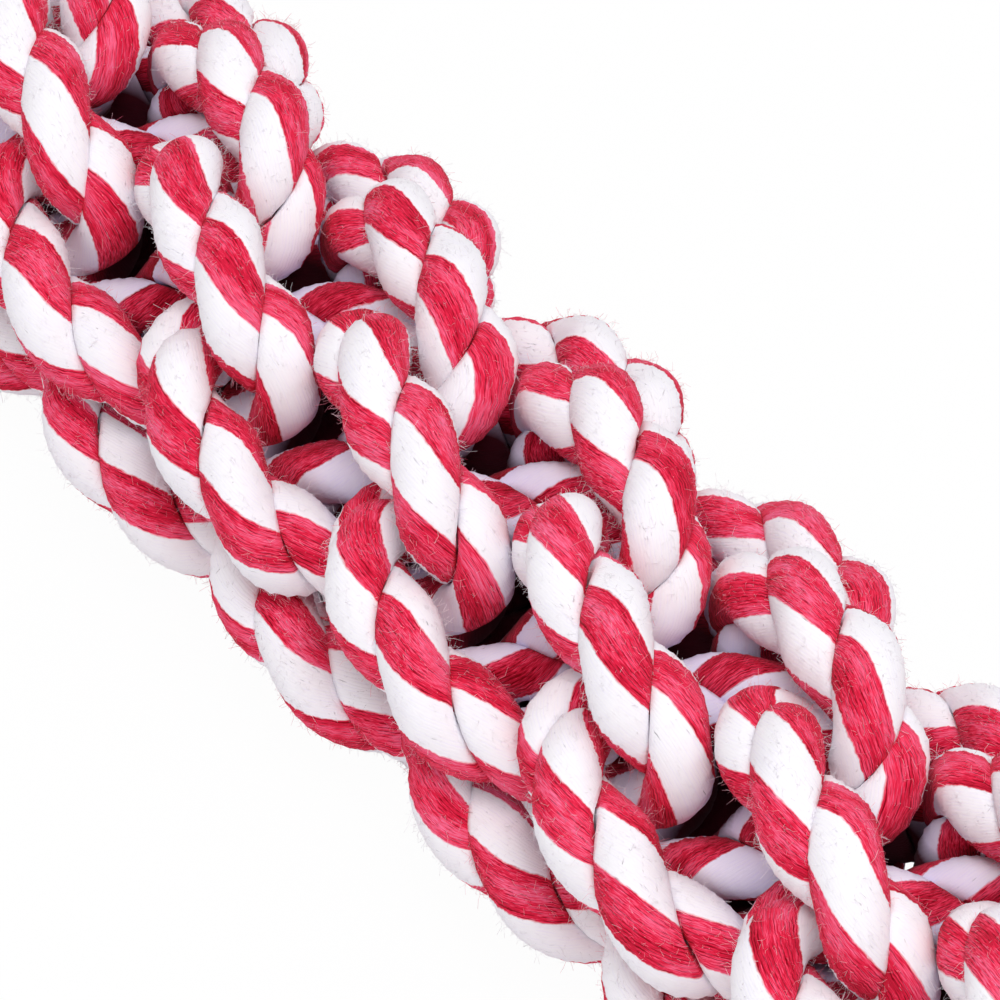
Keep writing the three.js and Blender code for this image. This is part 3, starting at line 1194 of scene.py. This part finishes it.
@dataclass
class FrayedTail:
    """One rope end beyond a binding, unlaid into loose wavy yarns."""

    node: str
    braid: CrownBraid
    end: End
    angle: float
    axis_height: float
    seed: int
    yarns: int = 60
    yarn_radius: float = 0.52 * MM
    thinnest: float = 0.85
    thickest: float = 1.12
    length: float = 42 * MM
    shortest: float = 0.86
    outer_shortfall: float = 0.05
    packing: float = 1.3
    seat_wander: float = 0.2
    dye_range: float = 0.2
    map_spacing: float = 10 * MM
    aside: tuple[float, float, float] = (0.0, 0.31, 0.95)
    root_radius: float = 4.0785 * MM
    swell: float = 3.4 * MM
    rooted: float = 6 * MM
    twist: float = 1.3
    untwist_length: float = 9 * MM
    wave: float = 0.9 * MM
    loosening: float = 14 * MM
    shortest_wave: float = 14 * MM
    longest_wave: float = 26 * MM
    bend_before: float = 2 * MM
    bend_past: float = 12 * MM
    sides: int = 5
    steps: int = 15

    def build(self, finish: bpy.types.Material) -> bpy.types.Object:
        """Models the tail's yarns beyond the binding.

        Args:
            finish: The yarns' material.

        Returns:
            The tail's object.
        """
        chance = np.random.default_rng(self.seed)
        number = np.arange(self.yarns)
        seat = np.sqrt((number + 0.5) / self.yarns)
        wander = chance.uniform(-self.seat_wander, self.seat_wander, self.yarns)
        seat_angle = number * math.pi * (3 - math.sqrt(5)) + wander
        reach_share = chance.uniform(self.shortest, 1.0, self.yarns) - self.outer_shortfall * seat
        t = np.linspace(0, 1, self.steps)
        gone = -self.rooted + (self.rooted + self.length * reach_share[:, None]) * t[None, :]
        out_share = smooth_step(gone / self.length)
        bundle = self.root_radius + self.swell * out_share
        middle = (bundle + self.braid.clearance / 2) / math.sin(math.pi / 4)
        unlaid = 1 - np.exp(-np.maximum(gone, 0) / self.untwist_length)
        turned = seat_angle[:, None] - self.twist * unlaid
        held = (bundle - self.packing * self.yarn_radius) * seat[:, None]
        loose = self.wave * smooth_step(gone / self.loosening)
        waves = chance.uniform(self.shortest_wave, self.longest_wave, (2, self.yarns, 1))
        starts = chance.uniform(0, TAU, (2, self.yarns, 1))
        radial = middle + held * np.cos(turned) + loose * np.sin(gone * TAU / waves[0] + starts[0])
        sidelong = held * np.sin(turned) + loose * np.sin(gone * TAU / waves[1] + starts[1])
        cos, sin = math.cos(self.angle), math.sin(self.angle)
        x = self.end.value * (self.braid.rope_end + self.braid.clearance + gone)
        points = np.stack([x, radial * cos - sidelong * sin, radial * sin + sidelong * cos], axis=-1)
        points[..., 2] += self.axis_height
        rings, yarn_map = self.yarn_rings(points, gone, chance)
        red = (number + chance.integers(0, 2)) % 2
        dye = red * (1 - self.dye_range) + chance.uniform(0, self.dye_range, self.yarns)
        piece = tube_object(f"{self.node}_yarns", finish, rings, yarn_map, dye)
        self.hang(piece)
        return piece

    def yarn_rings(
        self, points: np.ndarray, gone: np.ndarray, chance: np.random.Generator
    ) -> tuple[np.ndarray, np.ndarray]:
        """Rings of points round each yarn.

        Args:
            points: The yarns' middle lines, by yarn and step.
            gone: The distance of each point from the binding.
            chance: The tail's own random numbers.

        Returns:
            The rings by yarn, step and side, and their yarn map.
        """
        along = unit(np.gradient(points, axis=1))
        first = unit(np.cross(along, np.array(self.aside)))
        second = np.cross(along, first)
        angle = np.linspace(0, TAU, self.sides + 1)
        radius = self.yarn_radius * chance.uniform(self.thinnest, self.thickest, (self.yarns, 1, 1))
        rings = ringed(points, first, second, radius * np.cos(angle), radius * np.sin(angle))
        apart = np.arange(self.yarns)[:, None, None] * self.map_spacing
        return rings, map_values(angle / TAU, gone[:, :, None] + apart)

    def hang(self, piece: bpy.types.Object) -> None:
        """Hides the tail's solid and bakes the yarns' placement into their mesh; the lip and the loose point
        that it works out are not used.

        Args:
            piece: The yarns' object.
        """
        x = self.end.value * (self.braid.rope_end + self.braid.clearance)
        middle = around(np.array(x), self.braid.bundle_reach, self.angle)
        height = middle[2] + self.axis_height
        lip = Vector((x - self.end.value * self.bend_before, middle[1], height))
        loose = Vector((x + self.end.value * self.bend_past, middle[1], height))
        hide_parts(self.node)
        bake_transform(piece)


@dataclass(frozen=True)
class SoftLamp:
    """A square soft lamp: its name, where it hangs, the side of the square and its watts."""

    name: str
    place: tuple[float, float, float]
    size: float
    power: float


@dataclass
class StudioSet:
    """The pale floor, the soft lamps and the camera."""

    axis_height: float
    tilt: float = math.radians(31)
    round_angle: float = math.radians(119.8)
    roll: float = math.radians(43.8)
    distance: float = 420 * MM
    lens: float = 186.0
    sensor: float = 36.0
    nearest: float = 10 * MM
    aim_along: float = -5.0 * MM
    aim_across: float = 3.5 * MM
    floor_size: float = 6.0
    floor_drop: float = 0.05 * MM
    daylight: float = 0.58
    key: SoftLamp = SoftLamp("key_lamp", (0.24, -0.2, 0.88), 0.5, 4.2)
    fill: SoftLamp = SoftLamp("fill_lamp", (0.36, 0.35, 0.86), 0.7, 1.2)

    def floor(self) -> None:
        """Lays the floor under the bar."""
        bm = bmesh.new()
        bmesh.ops.create_grid(bm, x_segments=1, y_segments=1, size=self.floor_size / 2)
        bmesh.ops.translate(bm, verts=bm.verts, vec=(0, 0, -self.floor_drop))
        mesh = bpy.data.meshes.new("floor")
        bm.to_mesh(mesh)
        bm.free()
        mesh.materials.append(WhitePaper().material())
        made = placed("floor", mesh)

    def hang(self, lamp: SoftLamp) -> None:
        """Hangs one lamp so that it faces the bar.

        Args:
            lamp: The lamp.
        """
        data = bpy.data.lights.new(lamp.name, "AREA")
        data.shape = "SQUARE"
        data.size = lamp.size
        data.energy = lamp.power
        made = placed(lamp.name, data)
        made.location = lamp.place
        facing = Vector((0, 0, self.axis_height)) - Vector(lamp.place)
        made.rotation_euler = facing.to_track_quat("-Z", "Y").to_euler()

    def world(self) -> None:
        """Sets an even pale light all round, seen as white."""
        made = bpy.data.worlds.new("studio")
        made.use_nodes = True
        book = NodeBook(made.node_tree)
        strength = book.seen_directly() * (1.0 - self.daylight) + self.daylight
        light = book.add("ShaderNodeBackground", None, {"Color": FULL_WHITE, "Strength": strength})
        book.add("ShaderNodeOutputWorld", None, {"Surface": book.signal(light)})
        bpy.context.scene.world = made

    def camera(self) -> None:
        """Places the camera as in the photograph: close, from above, the bar running down to the right."""
        sideways = Vector((0, math.cos(self.round_angle), math.sin(self.round_angle)))
        bar = Vector((1, 0, 0))
        back = (math.cos(self.tilt) * sideways + math.sin(self.tilt) * bar).normalized()
        along = (bar - back * bar.dot(back)).normalized()
        across = back.cross(along)
        right = math.cos(self.roll) * along + math.sin(self.roll) * across
        upward = math.cos(self.roll) * across - math.sin(self.roll) * along
        target = Vector((self.aim_along, 0, self.axis_height)) + across * self.aim_across
        data = bpy.data.cameras.new("camera")
        data.lens = self.lens
        data.sensor_width = self.sensor
        data.clip_start = self.nearest
        made = placed("camera", data)
        turn = Matrix((right, upward, back)).transposed().to_4x4()
        made.matrix_world = Matrix.Translation(target + back * self.distance) @ turn
        bpy.context.scene.camera = made

    def build(self) -> None:
        """Sets up the whole studio."""
        bpy.context.scene.view_settings.view_transform = "Standard"
        self.floor()
        self.world()
        self.hang(self.key)
        self.hang(self.fill)
        self.camera()


def main() -> None:
    """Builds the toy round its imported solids, piece by piece."""
    logging.basicConfig(level=logging.INFO, format="%(name)s: %(message)s")
    bpy.ops.wm.read_factory_settings(use_empty=True)
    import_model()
    low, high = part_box("right_whipping")
    axis_height = (low.z + high.z) / 2

    braid = CrownBraid()
    paths = braid.paths()
    swell = braid.swell(paths)
    strand_finish = TwoColourStrand(axis_height).material()
    fibre_finish = StrayFibre().material()
    pieces = []
    for i, path in enumerate(paths):
        seed = ROPE_SEED + SEED_STEP * i
        rope = LaidRope(f"rope_{i + 1}", path, swell, axis_height, DYE_TURNS[i], LOBE_PLACES[i], seed)
        pieces += [StrayFibres(rope, strand).build(fibre_finish) for strand in range(rope.strands)]
        pieces += rope.build(strand_finish)

    cord_finish = BindingCord().material()
    yarn_finish = LooseYarn().material()
    for end in End:
        side = end.name.lower()
        pieces.append(Whipping(f"{side}_whipping", braid, end, axis_height).build(cord_finish))
        for i in range(braid.ropes):
            angle = braid.end_angle(end) + i * braid.rope_angle
            seed = TAIL_SEED + SEED_STEP * i + end.value
            tail = FrayedTail(f"rope_{i + 1}_{side}_tail", braid, end, angle, axis_height, seed)
            pieces.append(tail.build(yarn_finish))
    for piece in pieces:
        log.info("%s: %d faces", piece.name, len(piece.data.polygons))

    StudioSet(axis_height).build()


if __name__ == "__main__":
    main()
